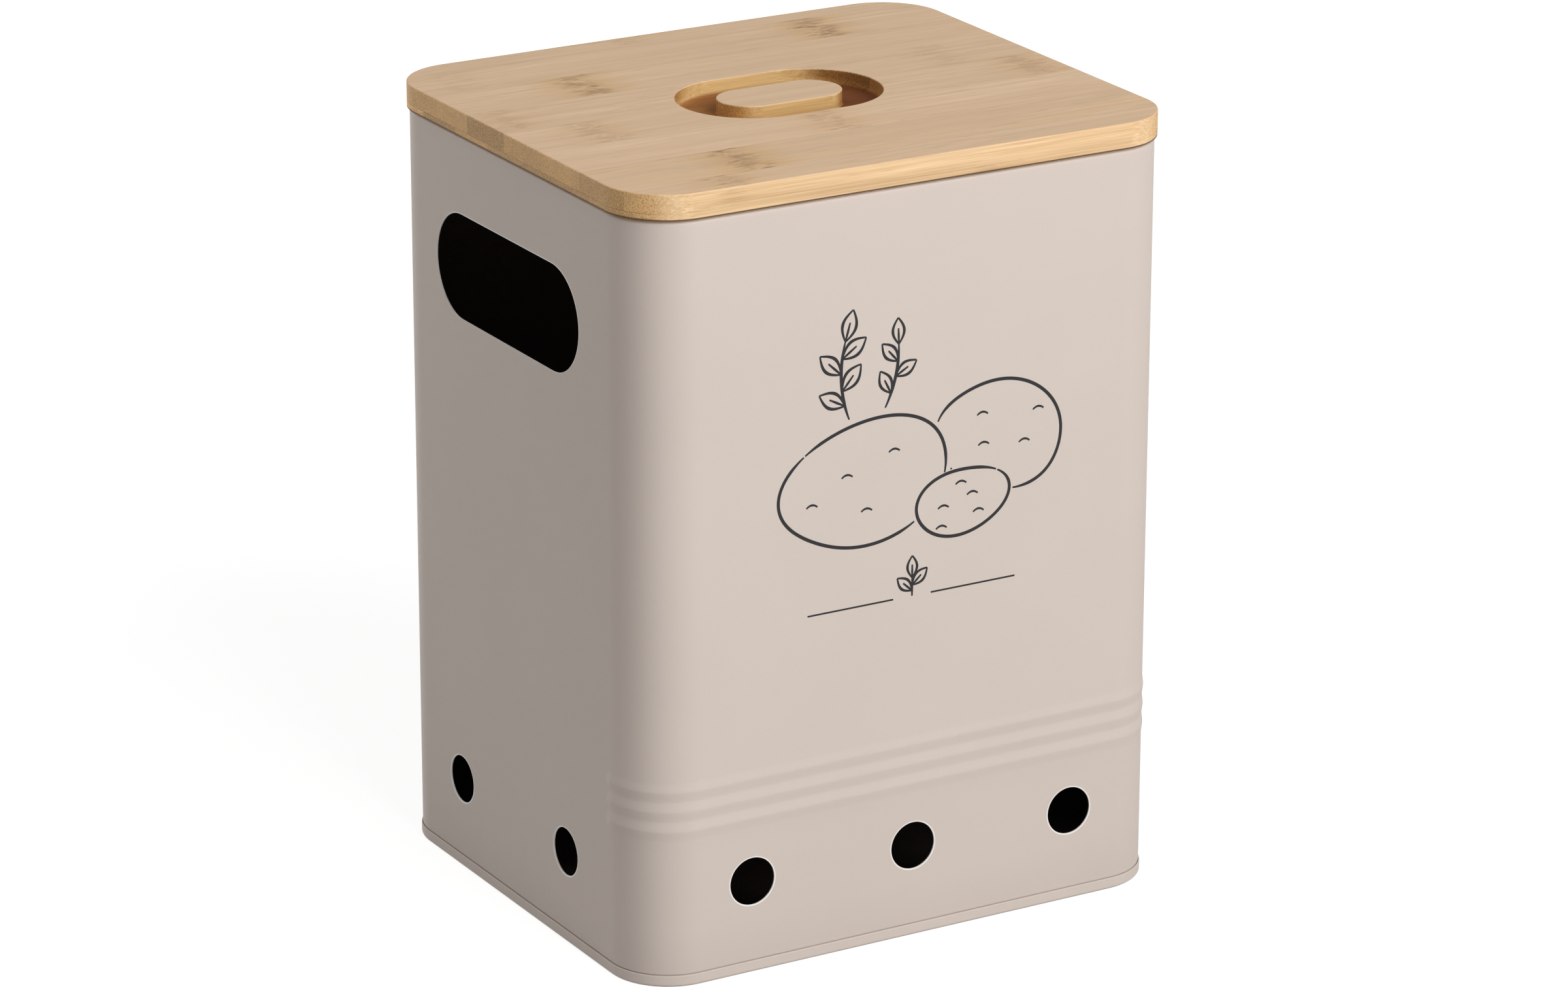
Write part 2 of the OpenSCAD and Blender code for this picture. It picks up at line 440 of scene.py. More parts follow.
class Sheet:
    """Mesh of the folded sheet: a grid of points on its outer and on its inner
    face, row by row, that the holes, the rolled rim and the foot join."""

    def __init__(self, openings):
        self.rows = sheet_rows(openings)
        self.places = stations(WALL_X, WALL_Y, CORNER_R, sheet_marks(openings))
        self.columns = len(self.places)
        self.inside = len(self.rows) * self.columns
        self.verts, self.faces, self.painted = [], [], []

    def add_face(self, points, number):
        self.faces.append(tuple(points))
        self.painted.append(number)

    def add_row(self, z, rise):
        """A loop of points round the walls. rise gives a place its distance outward."""
        self.verts += [(*(place[2] + place[3] * rise(place)), z) for place in self.places]

    def join_rows(self, low, high):
        """Painted faces between two loops, each given by its first point."""
        for k in range(self.columns):
            n = (k + 1) % self.columns
            self.add_face((low + k, low + n, high + n, high + k), PAINT)

    def window(self, opening):
        """The window's first and last row, then its first and last column."""
        t0, t1, z0, z1 = window_of(opening)
        rows = [i for i, z in enumerate(self.rows) if z0 - TOLERANCE < z < z1 + TOLERANCE]
        columns = [k for k, (wall, t, _, _) in enumerate(self.places)
                   if wall == opening[0] and t0 - TOLERANCE < t < t1 + TOLERANCE]
        return rows[0], rows[-1], columns[0], columns[-1]

    def add_walls(self, windows):
        """Both faces of the sheet, apart from the windows."""
        inner_top = RIM_TOP - ROLL_R - math.sqrt(ROLL_R ** 2 - (ROLL_R - SHEET) ** 2)
        for z in self.rows:
            self.add_row(z, lambda place: rib_rise(place, z) - foot_tuck(z) - lock_line(place))
        for z in self.rows:
            level, depth = min(z, inner_top), SHEET + foot_tuck(z)
            self.add_row(level, lambda place: rib_rise(place, z) - depth - lock_band(place, level))
        covered = {(row, k) for row0, row1, col0, col1 in windows
                   for row in range(row0, row1) for k in range(col0, col1)}
        for cell, (a, b, c, d) in enumerate(tube_faces(len(self.rows), self.columns, False)):
            if divmod(cell, self.columns) not in covered:
                self.add_face((a, b, c, d), PAINT)
                self.add_face((self.inside + i for i in (a, d, c, b)), INSIDE_SHADE)

    def add_hole(self, opening, window):
        """The rest of a window round its hole, on both faces, and the hole's edge."""
        wall, along, z, length, height = opening
        row0, row1, col0, col1 = window
        rim = [(row0, k) for k in range(col0, col1)] + [(r, col1) for r in range(row0, row1)]
        rim += [(row1, k) for k in range(col1, col0, -1)] + [(r, col0) for r in range(row1, row0, -1)]
        ring, shift = ring_of(opening)
        middle = Vector((along, z)) + shift
        triangles = fill_around([(self.places[k][1], self.rows[r]) for r, k in rim],
                                hole_loop(opening, ring, shift),
                                lambda p: in_stadium(p - middle, length, height, ring))
        reach, out = (WALL_Y if wall == "front" else WALL_X), self.places[col0][3]
        side = Vector((-out.y, out.x))
        first = len(self.verts)
        loops = ((ring, 1, 0), (EDGE_LIP, 0, EDGE_LIP_DEPTH), (0, 0, EDGE_DEPTH),
                 (0, 0, SHEET), (ring, 1, SHEET))
        for grow, part, depth in loops:
            self.verts += [(*(out * (reach - depth) + side * p.x), p.y)
                           for p in hole_loop(opening, grow, shift * part)]
        end = len(self.verts)
        count = (end - first) // len(loops)
        outer = [r * self.columns + k for r, k in rim]
        inner = [self.inside + i for i in outer]
        outer += range(first, first + count)
        inner += range(end - count, end)
        for triangle in triangles:
            self.add_face((outer[i] for i in triangle), PAINT)
            self.add_face((inner[i] for i in reversed(triangle)), INSIDE_SHADE)
        for face in tube_faces(len(loops), count, False):
            self.add_face((first + i for i in face), EDGE)

    def add_roll(self):
        """The rim, rolled inward until it meets the inner face."""
        last = self.inside - self.columns
        end = 2 * math.pi - math.acos((ROLL_R - SHEET) / ROLL_R)
        for step in range(1, ROLL_STEPS):
            angle = end * step / ROLL_STEPS
            d, z = ROLL_R * (math.cos(angle) - 1), RIM_TOP - ROLL_R + ROLL_R * math.sin(angle)
            start = len(self.verts)
            self.add_row(z, lambda place: d - lock_line(place))
            self.join_rows(last, start)
            last = start
        self.join_rows(last, 2 * self.inside - self.columns)


def steel_body(paint, inside_shade, edge):
    """The folded sheet with its openings, rolled rim and foot."""
    openings = wall_openings()
    sheet = Sheet(openings)
    windows = [sheet.window(opening) for opening in openings]
    sheet.add_walls(windows)
    for opening, window in zip(openings, windows):
        sheet.add_hole(opening, window)
    sheet.add_roll()
    sheet.join_rows(0, sheet.inside)
    make_piece("steel_body", to_bmesh(sheet.verts, sheet.faces, sheet.painted),
               (paint, inside_shade, edge), "bin", "body_shell")


def bottom_seam(paint, inside_shade):
    """Bottom plate, folded round the wall's foot into a band with a fine gap."""
    section = profile([
        (-PLATE_SPAN, PLATE_TOP, 0),
        (-SHEET, PLATE_TOP, 0),
        (-SHEET, WALL_FOOT, 0),
        (0, WALL_FOOT, 0),
        (0, SEAM_TOP - SEAM_GAP_DEPTH, 0),
        (SEAM_GAP, SEAM_TOP - SEAM_GAP_DEPTH, 0),
        (SEAM_GAP, SEAM_TOP, SEAM_LIP_R),
        (SEAM_OUT, SEAM_TOP, SEAM_TOP_R),
        (SEAM_OUT, 0, SEAM_FOOT_R),
        (-SEAM_FOLD_IN, 0, SEAM_INNER_R),
        (-SEAM_FOLD_IN, PLATE_TOP - SHEET, PLATE_BEND_R),
        (-PLATE_SPAN, PLATE_TOP - SHEET, 0),
    ])
    places = stations(WALL_X, WALL_Y, CORNER_R)
    verts, faces = sweep(section, places)
    count = len(places)
    painted = [INSIDE_SHADE] * count + [PAINT] * (len(faces) - count) + [INSIDE_SHADE, PAINT]
    faces += end_caps(len(verts), count)
    make_piece("bottom_seam", to_bmesh(verts, faces, painted), (paint, inside_shade),
               "bin", "bottom_panel")


def capped_sweep(section, places):
    """A sweep whose first and last loops are closed with flat faces."""
    verts, faces = sweep(section, places)
    return to_bmesh(verts, faces + end_caps(len(verts), len(places)))


def upper_board():
    """The whole upper ply with its milled grip, before it is split in strips."""
    places = stations(LID_X, LID_Y, LID_R)
    outside = edge_profile(-PLY_RUN, LID_TOP, TOP_EASE, PLY_Z, PLY_EASE, -PLY_RUN)[1:]
    verts, faces = sweep(outside, places)
    count = len(places)
    faces += end_caps(len(verts), count)[1:]
    rim = edge_profile(GRIP_RUN, LID_TOP, GRIP_EASE, GROOVE_FLOOR, GRIP_FILLET, -GRIP_RUN)[1:-1]
    core = edge_profile(GRIP_RUN, GROOVE_FLOOR, ISLAND_FILLET, LID_TOP, GRIP_EASE, -GRIP_RUN)[1:-1]
    groove = [(GRIP_L, GRIP_W, d, z) for d, z in rim] + [(ISLAND_L, ISLAND_W, d, z) for d, z in core]
    first = len(verts)
    for length, width, grow, z in groove:
        verts += [(*p, z) for p in stadium(length, width, grow)]
    ring = 2 * (STADIUM_STEPS + 1)
    faces += [tuple(first + i for i in face) for face in tube_faces(len(groove), ring, False)]
    faces += end_caps(len(verts), ring)[1:]
    ids = [*range(count), *range(first, first + ring)]
    flat = [verts[i][:2] for i in ids]
    for triangle in fill_around(flat[:count], flat[count:],
                                lambda p: in_stadium(p, GRIP_L, GRIP_W, rim[0].x)):
        faces.append(tuple(ids[i] for i in triangle))
    return to_bmesh(verts, faces)


def lower_board():
    """The whole lower ply, before it is split in strips."""
    section = edge_profile(-PLY_RUN, PLY_Z, PLY_EASE, LID_BOTTOM, FOOT_EASE, -PLY_RUN)[1:-1]
    return capped_sweep(section, stations(LID_X, LID_Y, LID_R))


def strip_of(board, y0, y1):
    """The part of a board between two joints, closed with flat faces."""
    bm = board.copy()
    for y, side in ((y0, -1), (y1, 1)):
        if abs(y) > LID_Y - TOLERANCE:
            continue
        bmesh.ops.bisect_plane(bm, geom=bm.verts[:] + bm.edges[:] + bm.faces[:], dist=CUT_TOLERANCE,
                               plane_co=(0, y, 0), plane_no=(0, side, 0), clear_outer=True)
        rim = [edge for edge in bm.edges if edge.is_boundary]
        bmesh.ops.holes_fill(bm, edges=rim, sides=0)
    return bm


# Looks of the strips, front to back. Each is (brightness of the face,
# brightness of the end grain, warmth) and up to two growth nodes, each as
# (place along the strip, strength).
NO_NODE = (400, 0)
UPPER_LOOKS = (
    ((1.00, 0.98, 0.30), (-73, 0.55), NO_NODE),
    ((0.98, 0.90, 0.80), (-56, 1.00), NO_NODE),
    ((1.04, 1.06, -0.10), (-2, 0.50), NO_NODE),
    ((1.00, 1.00, 0.10), (-83, 0.50), (101, 0.55)),
    ((0.99, 0.78, 0.10), (-106, 0.35), (78, 0.25)),
    ((1.00, 1.02, 0.35), (-58, 1.00), NO_NODE),
    ((1.00, 1.03, 0.15), (59, 1.05), (-96, 0.20)),
    ((0.99, 1.00, 0.10), (-14, 0.35), NO_NODE),
)
LOWER_LOOKS = (
    ((0.99, 0.95, 0.50), (34, 0.80), NO_NODE),
    ((1.00, 0.94, 0.40), (-60, 0.60), NO_NODE),
    ((0.97, 0.86, 0.30), (80, 0.80), NO_NODE),
    ((1.02, 0.85, 0.20), (-20, 0.60), NO_NODE),
    ((0.99, 0.89, 0.40), (60, 0.70), NO_NODE),
    ((1.03, 1.02, 0.30), (-92, 0.50), NO_NODE),
    ((0.96, 0.80, 0.20), (14, 0.90), NO_NODE),
    ((1.05, 1.26, 0.60), (-40, 0.50), NO_NODE),
    ((1.00, 1.00, 0.30), (90, 0.50), NO_NODE),
)
PLUG_LOOK = ((0.99, 0.92, 0.25), (-37, 0.80), (66, 0.60))

# Each strip's grain starts from its own number
SEED_STEP = 17.0
UPPER_SEED = 0.0
LOWER_SEED = 250.0
PLUG_SEED = 431.0


def facts_of(look, y0, y1, seed):
    tone, first, second = look
    return {"tone": tone, "marks": (*first, seed), "more_marks": (*second, 0.0),
            "joints": (y0, y1, 0.0)}


def lid_strips(bamboo):
    """Every glued strip of both plies as its own piece."""
    plies = (("upper", upper_board(), UPPER, UPPER_LOOKS, UPPER_SEED),
             ("lower", lower_board(), LOWER, LOWER_LOOKS, LOWER_SEED))
    for ply, board, boxes, looks, seed in plies:
        for i, ((low, high), look) in enumerate(zip(boxes, looks), start=1):
            facts = facts_of(look, low.y, high.y, seed + SEED_STEP * i)
            make_piece(f"bamboo_{ply}_{i}", strip_of(board, low.y, high.y), (bamboo,), "lid",
                       f"{ply}_strip_{i}", facts)
        board.free()


def plug_board(bamboo):
    """Board under the lid with the seat that is cut round it for the ring."""
    seat_low, seat_high = ring_low.z, ring_high.z
    section = profile([
        (-PLUG_RUN, LID_BOTTOM, 0),
        (0, LID_BOTTOM, 0),
        (0, seat_high, 0),
        (-SEAT_DEPTH, seat_high, 0),
        (-SEAT_DEPTH, seat_low, 0),
        (0, seat_low, 0),
        (0, plug_low.z, PLUG_EASE),
        (-PLUG_RUN, plug_low.z, 0),
    ])[:-1]
    bm = capped_sweep(section, stations(PLUG_X, PLUG_Y, PLUG_R))
    make_piece("plug_board", bm, (bamboo,), "lid", "lid_plug",
               facts_of(PLUG_LOOK, -PLUG_Y, PLUG_Y, PLUG_SEED))


def silicone_ring(silicone):
    """Ring in the plug's seat, with a round-tipped lip."""
    low, high = ring_low.z, ring_high.z
    lip_low, lip_high = (low + high - RING_LIP_T) / 2, (low + high + RING_LIP_T) / 2
    section = profile([
        (-SEAT_DEPTH, low, 0),
        (-RING_INSET, low, RING_EASE),
        (-RING_INSET, lip_low, RING_EASE),
        (RING_REACH, lip_low, RING_LIP_R),
        (RING_REACH, lip_high, RING_LIP_R),
        (-RING_INSET, lip_high, RING_EASE),
        (-RING_INSET, high, RING_EASE),
        (-SEAT_DEPTH, high, 0),
    ])
    verts, faces = sweep(section, stations(PLUG_X, PLUG_Y, PLUG_R), closed=True)
    make_piece("silicone_ring", to_bmesh(verts, faces), (silicone,), "lid", "sealing_ring")


# Line drawing on the front wall. Places are (x, z) on the wall.
PEN = 1.3
PEN_STEP = 0.7
PEN_TAPER = 7.0
PEN_TIP = 0.5
INK_SUNK = 0.1
INK_PROUD = 0.03
INK_STROKE_RISE = 0.0004

# Potatoes from the nearest to the farthest: middle, half length, half height,
# tilt in degrees, phase of their lumps
POTATOES = (
    (21.0, 167.0, 19.0, 13.0, 9.0, 0.6),
    (-20.0, 181.0, 36.0, 23.0, 13.0, 2.2),
    (37.0, 190.0, 28.0, 20.0, -24.0, 4.0),
)
POTATO_LUMPS = (0.05, 0.035)
HIDDEN_GAP = 1.06
EYE_COUNT = 5
EYE_INNERMOST = 0.3
EYE_SPREAD = 0.45
EYE_TURN = 2.4
EYE_LENGTH = 4.6
EYE_BEND = 0.22
EYE_STEPS = 8

# Sprigs: foot x and z, heading and bend in degrees, length, leaves, leaf length
SPRIGS = (
    (-27.0, 206.0, 112.0, -38.0, 30.0, 5, 12.0),
    (-12.0, 208.0, 62.0, 30.0, 24.0, 4, 10.0),
    (0.0, 134.0, 90.0, 0.0, 7.0, 3, 8.5),
)
LEAF_SPREAD = 48.0
LEAF_FAT = 0.24
LEAF_RIB = 0.6
LEAF_STEPS = 8
RULE_Z = 134.0
RULE_SPAN = (8.0, 44.0)


def potato_reach(potato, angle):
    phase = potato[5]
    two, three = POTATO_LUMPS
    return 1 + two * math.cos(2 * angle + phase) + three * math.cos(3 * angle - phase)


def on_potato(potato, angle, part=1.0):
    """A point of a potato, part 1 on its outline and part 0 in its middle."""
    x, z, half_l, half_h, tilt, _ = potato
    reach = part * potato_reach(potato, angle)
    local = Vector((half_l * reach * math.cos(angle), half_h * reach * math.sin(angle)))
    return Vector((x, z)) + Matrix.Rotation(math.radians(tilt), 2) @ local


def in_potato(potato, point):
    x, z, half_l, half_h, tilt, _ = potato
    u, v = Matrix.Rotation(-math.radians(tilt), 2) @ (point - Vector((x, z)))
    u, v = u / half_l, v / half_h
    return math.hypot(u, v) < HIDDEN_GAP * potato_reach(potato, math.atan2(v, u))


def potato_lines():
    """Outlines with the hidden parts left out, and short arcs for the eyes."""
    lines = []
    across_eye = [k / EYE_STEPS - 0.5 for k in range(EYE_STEPS + 1)]
    for number, potato in enumerate(POTATOES):
        def hidden(point):
            return any(in_potato(nearer, point) for nearer in POTATOES[:number])

        steps = int(2 * math.pi * potato[2] / PEN_STEP)
        run = []
        for k in range(steps):
            point = on_potato(potato, potato[5] + 2 * math.pi * k / steps)
            if hidden(point):
                lines.append(run)
                run = []
            else:
                run.append(point)
        lines.append(run)
        for k in range(EYE_COUNT):
            part = EYE_INNERMOST + EYE_SPREAD * k / (EYE_COUNT - 1)
            middle = on_potato(potato, potato[5] + EYE_TURN * k, part)
            arc = [middle + EYE_LENGTH * Vector((t, -EYE_BEND * 4 * t * t)) for t in across_eye]
            if not any(hidden(point) for point in arc):
                lines.append(arc)
    return lines


def leaf_lines(foot, heading, length):
    """A pointed leaf as two bowed edges and part of a rib."""
    along = Vector((math.cos(heading), math.sin(heading)))
    across = Vector((-along.y, along.x))
    steps = max(LEAF_STEPS, int(length / PEN_STEP))
    return [[foot + along * length * reach * k / steps
             + across * bow * length * math.sin(math.pi * k / steps) for k in range(steps + 1)]
            for reach, bow in ((1, LEAF_FAT), (1, -LEAF_FAT), (LEAF_RIB, 0))]


def sprig_lines(sprig):
    """A bent stem with leaves at either side and one at its tip."""
    x, z, heading, bend, length, leaves, leaf = sprig
    steps = int(length / PEN_STEP)
    stem = [Vector((x, z))]
    for k in range(steps):
        turn = math.radians(heading + bend * k / steps)
        stem.append(stem[-1] + Vector((math.cos(turn), math.sin(turn))) * length / steps)
    lines = [stem]
    for i in range(leaves):
        at = steps * (i + 1) // leaves
        side = 0 if i == leaves - 1 else (-1) ** i
        turn = math.radians(heading + bend * at / steps + side * LEAF_SPREAD)
        lines += leaf_lines(stem[at], turn, leaf)
    return lines


def pen_stroke(line, rise):
    """A drawn line as a thin closed ribbon on the front wall, finer at its ends."""
    lengths = [0.0]
    for a, b in zip(line, line[1:]):
        lengths.append(lengths[-1] + (b - a).length)
    verts = []
    for k, point in enumerate(line):
        along = (line[min(k + 1, len(line) - 1)] - line[max(k - 1, 0)]).normalized()
        across = Vector((-along.y, along.x))
        to_end = min(lengths[k], lengths[-1] - lengths[k])
        half = PEN / 2 * (PEN_TIP + (1 - PEN_TIP) * min(1.0, to_end / PEN_TAPER))
        for y, side in ((rise, 1), (rise, -1), (-INK_SUNK, -1), (-INK_SUNK, 1)):
            edge = point + across * half * side
            verts.append((edge.x, -WALL_Y - y, edge.y))
    faces = tube_faces(len(line), 4, False)
    return verts, faces + end_caps(len(verts), 4)


def front_print(ink):
    """Potatoes and leaves in pen lines, above a rule that a sprout divides."""
    lines = potato_lines()
    for sprig in SPRIGS:
        lines += sprig_lines(sprig)
    for side in (1, -1):
        lines.append([Vector((side * x, RULE_Z)) for x in RULE_SPAN])
    verts, faces = [], []
    for number, line in enumerate(line for line in lines if len(line) > 1):
        more_verts, more_faces = pen_stroke(line, INK_PROUD + INK_STROKE_RISE * number)
        faces += [tuple(len(verts) + i for i in face) for face in more_faces]
        verts += more_verts
    make_piece("front_print", to_bmesh(verts, faces), (ink,), "bin")


# Materials

def srgb(*levels):
    """A colour given as 0 to 255 screen levels, as linear light."""
    linear = []
    for level in levels:
        c = level / 255
        linear.append(c / 12.92 if c <= 0.04045 else ((c + 0.055) / 1.055) ** 2.4)
    return (*linear, 1.0)


class Nodes:
    """A node tree, with a short call for each kind of node."""

    def __init__(self, tree):
        self.tree = tree

    def put(self, socket, value):
        if isinstance(value, bpy.types.NodeSocket):
            self.tree.links.new(value, socket)
        else:
            socket.default_value = value

    def node(self, kind, settings=None, inputs=(), **named):
        made = self.tree.nodes.new(kind)
        for key, value in (settings or {}).items():
            setattr(made, key, value)
        for key, value in (*enumerate(inputs), *named.items()):
            self.put(made.inputs[key], value)
        return made

    def math(self, operation, *values, clamp=False):
        return self.node("ShaderNodeMath", {"operation": operation, "use_clamp": clamp}, values).outputs[0]

    def times(self, first, *others, clamp=False):
        for value in others:
            first = self.math("MULTIPLY", first, value, clamp=clamp)
        return first

    def apart(self, first, second):
        return self.math("ABSOLUTE", self.math("SUBTRACT", first, second))

    def vector(self, operation, *values):
        made = self.node("ShaderNodeVectorMath", {"operation": operation}, values)
        return made.outputs["Value" if operation == "LENGTH" else "Vector"]

    def split(self, vector):
        return self.node("ShaderNodeSeparateXYZ", Vector=vector).outputs

    def join(self, x, y, z):
        return self.node("ShaderNodeCombineXYZ", X=x, Y=y, Z=z).outputs[0]

    def noise(self, vector, turns, detail, roughness=0.5, distortion=0.0):
        """Noise with so many turns in a unit: one number, or one for each way."""
        if isinstance(turns, tuple):
            vector, turns = self.vector("MULTIPLY", vector, turns), 1.0
        made = self.node("ShaderNodeTexNoise", Vector=vector, Scale=turns, Detail=detail,
                         Roughness=roughness, Distortion=distortion)
        return made.outputs["Fac"]

    def cells(self, vector, scatter):
        """Distance to the nearest of scattered points, one in each unit cube."""
        made = self.node("ShaderNodeTexVoronoi", Vector=vector, Scale=1.0, Randomness=scatter)
        return made.outputs["Distance"]

    def ramp(self, value, low, high, to_low=0.0, to_high=1.0, smooth=True):
        made = self.node("ShaderNodeMapRange", {"interpolation_type": "SMOOTHSTEP" if smooth else "LINEAR"},
                         (value, low, high, to_low, to_high))
        return made.outputs["Result"]

    def mix(self, factor, first, second):
        made = self.node("ShaderNodeMix", {"data_type": "RGBA"})
        self.put(made.inputs["Factor"], factor)
        self.put(made.inputs[6], first)
        self.put(made.inputs[7], second)
        return made.outputs[2]

    def tint(self, colour, amount):
        """The colour times a number."""
        made = self.node("ShaderNodeVectorMath", {"operation": "SCALE"}, Vector=colour, Scale=amount)
        return made.outputs[0]

    def show(self, output, plain, shown):
        """Joins two shaders: shown where a ray comes from the camera, a mirror or
        clear glass, and plain for the light that falls on the object."""
        path = self.node("ShaderNodeLightPath").outputs
        direct = self.math("MAXIMUM", path["Is Camera Ray"], path["Is Glossy Ray"])
        direct = self.math("MAXIMUM", direct, path["Is Transmission Ray"])
        choice = self.node("ShaderNodeMixShader", inputs=(direct, plain.outputs[0], shown.outputs[0]))
        self.node(output, Surface=choice.outputs[0])


class Recipe(Nodes):
    """A material's nodes. p is the point on the object in millimetres."""

    def __init__(self, name):
        self.material = bpy.data.materials.new(name)
        self.material.use_nodes = True
        super().__init__(self.material.node_tree)
        self.shader = self.tree.nodes["Principled BSDF"]
        self.coordinates = self.node("ShaderNodeTexCoord").outputs
        self.p = self.vector("MULTIPLY", self.coordinates["Object"], (1 / MM,) * 3)

    def fact(self, name):
        return self.node("ShaderNodeAttribute", {"attribute_name": name}).outputs["Vector"]

    def bump(self, height, distance, strength=1.0):
        made = self.node("ShaderNodeBump", Height=height, Distance=distance * MM, Strength=strength)
        self.put(self.shader.inputs["Normal"], made.outputs["Normal"])

    def set(self, **values):
        for key, value in values.items():
            self.put(self.shader.inputs[key.replace("_", " ")], value)
        return self.material


def paint_material():
    """Matt powder paint: faint cloudiness, and a fine orange-peel skin."""
    r = Recipe("warm_grey_paint")
    cloud = r.ramp(r.noise(r.p, 0.02, 2), 0.3, 0.7, 0.992, 1.008)
    speck = r.ramp(r.noise(r.p, 1.1, 2), 0.25, 0.75, 0.994, 1.006)
    colour = r.tint(srgb(214, 201, 192)[:3], r.times(cloud, speck))
    r.bump(r.noise(r.p, 1.6, 3, 0.6), 0.012)
    rough = r.ramp(r.noise(r.p, 0.5, 2), 0.3, 0.7, 0.52, 0.6)
    return r.set(Base_Color=colour, Roughness=rough, Specular_IOR_Level=0.3)


def inside_shade_material():
    """Dark colour of all inside faces with a faint mottle: painted shade for the dark inside of the bin."""
    r = Recipe("painted_inside_shade")
    mottle = r.noise(r.p, 0.35, 3)
    colour = r.mix(mottle, srgb(72, 63, 58), srgb(86, 76, 70))
    r.bump(r.noise(r.p, 1.4, 2), 0.01)
    rough = r.ramp(mottle, 0.3, 0.7, 0.6, 0.75)
    return r.set(Base_Color=colour, Roughness=rough, Specular_IOR_Level=0.15)


def edge_material():
    """Pale line of paint and bright steel where the sheet was punched."""
    r = Recipe("punched_edge")
    wear = r.noise(r.p, 0.6, 3)
    colour = r.mix(wear, srgb(244, 240, 235), srgb(252, 249, 245))
    r.bump(wear, 0.01)
    return r.set(Base_Color=colour, Roughness=r.ramp(wear, 0.3, 0.7, 0.35, 0.5), Specular_IOR_Level=0.4)


def silicone_material():
    """Milky soft ring."""
    r = Recipe("milky_silicone")
    haze = r.noise(r.p, 0.3, 2)
    colour = r.mix(haze, srgb(226, 226, 220), srgb(236, 236, 232))
    r.bump(r.noise(r.p, 2.0, 2), 0.008)
    return r.set(Base_Color=colour, Roughness=r.ramp(haze, 0.3, 0.7, 0.38, 0.46),
                 Subsurface_Weight=0.25, Subsurface_Scale=0.002)


def ink_material():
    """Screen-printed ink, a little uneven."""
    r = Recipe("black_ink")
    mottle = r.noise(r.p, 0.8, 3)
    colour = r.mix(mottle, srgb(24, 24, 27), srgb(38, 37, 40))
    r.bump(mottle, 0.006)
    return r.set(Base_Color=colour, Roughness=r.ramp(mottle, 0.3, 0.7, 0.42, 0.55), Specular_IOR_Level=0.3)


# The level faces' paler, greyer colour against the edges' is partly painted sheen of glancing light and
# partly the grain's own tone
SHEENED_FACE_COLOUR = srgb(221, 188, 153)
SIDE_COLOUR = srgb(239, 202, 156)
END_COLOUR = srgb(234, 189, 131)
WARM_COLOUR = srgb(222, 184, 134)
HALO_COLOUR = srgb(208, 166, 106)
NODE_COLOUR = srgb(138, 98, 65)
PORE_COLOUR = srgb(134, 86, 46)
GLUE_COLOUR = srgb(150, 108, 66)
# Colour of the painted shadow at the foot of the lid's edge
FOOT_SHADOW_COLOUR = srgb(72, 47, 30)
# Painted shade in the milled grip's recess, as multipliers: for its walls, for its end walls from left to
# right, and for its floor from left to right, darkest at the right end
GROOVE_WALL_PAINTED_SHADE = (0.76, 0.72, 0.54, 1)
GROOVE_END_PAINTED_SHADES = ((0.80, 0.70, 0.50, 1), (0.50, 0.36, 0.20, 1))
GROOVE_BED_PAINTED_SHADES = ((0.55, 0.34, 0.16, 1), (0.22, 0.09, 0.03, 1))

# Places on the bamboo. In a pair, a mark or shade starts at the first and is
# full at the second: heights for the grip, distances for lines and growth nodes.
GROOVE_FADE = (LID_TOP - 0.1, LID_TOP - 0.6)
GROOVE_MARGIN = 2.0
GROOVE_UNDER = 0.5
NODE_REACH = (10.0, 2.0)
HALO_REACH = (24.0, 3.0)
NODE_WANDER = 6.0
PLY_LINE = (0.28, 0.06)
JOINT_LINE = (0.22, 0.05)

# Painted shadow along the foot of the lid's edge, where the lid sits on the rim: heights where it starts on
# the long edges and on the ends, where it is full and where it stops, and how dark it is
FOOT_SHADOW_LONG = LID_BOTTOM + 0.9
FOOT_SHADOW_END = LID_BOTTOM + 1.25
FOOT_SHADOW_FULL = LID_BOTTOM + 0.6
FOOT_SHADOW_STOP = LID_BOTTOM - 0.1
FOOT_SHADOW_DEPTH = 0.92


class Bamboo(Recipe):
    """A recipe with the values that the bamboo's colours share. end is 1 on the
    end grain and flat on level faces, and shifted is the point moved by the
    strip's seed, so that no two strips have the same grain."""

    def __init__(self, name):
        super().__init__(name)
        self.x, self.y, self.z = self.split(self.p)
        self.seed = self.split(self.fact("marks"))[2]
        self.shifted = self.vector("ADD", self.p, self.join(self.seed, self.seed, self.seed))
        nx, _, nz = self.split(self.coordinates["Normal"])
        self.end = self.ramp(self.math("ABSOLUTE", nx), 0.35, 0.75)
        self.flat = self.ramp(self.math("ABSOLUTE", nz), 0.45, 0.85)
        self.fibres = self.noise(self.shifted, (0.02, 1.7, 1.7), 4, 0.6, 0.2)
        self.streaks = self.noise(self.shifted, (0.022, 0.5, 0.5), 4, 0.65, 0.3)
        self.bands = self.noise(self.shifted, (0.006, 0.16, 0.16), 3, 0.55)


def spots(r, turns, fade_from, fade_to):
    """Uneven oval spots, some faint. turns is how many lie in a millimetre each way."""
    at = r.vector("MULTIPLY", r.shifted, turns)
    shaken = r.vector("ADD", at, r.join(0.0, r.times(r.noise(at, 1.0, 2), 0.6), 0.0))
    depth = r.ramp(r.noise(at, 1.7, 2), 0.30, 0.60, 0.2, 1.0)
    return r.times(r.ramp(r.cells(shaken, 0.85), fade_from, fade_to), depth)


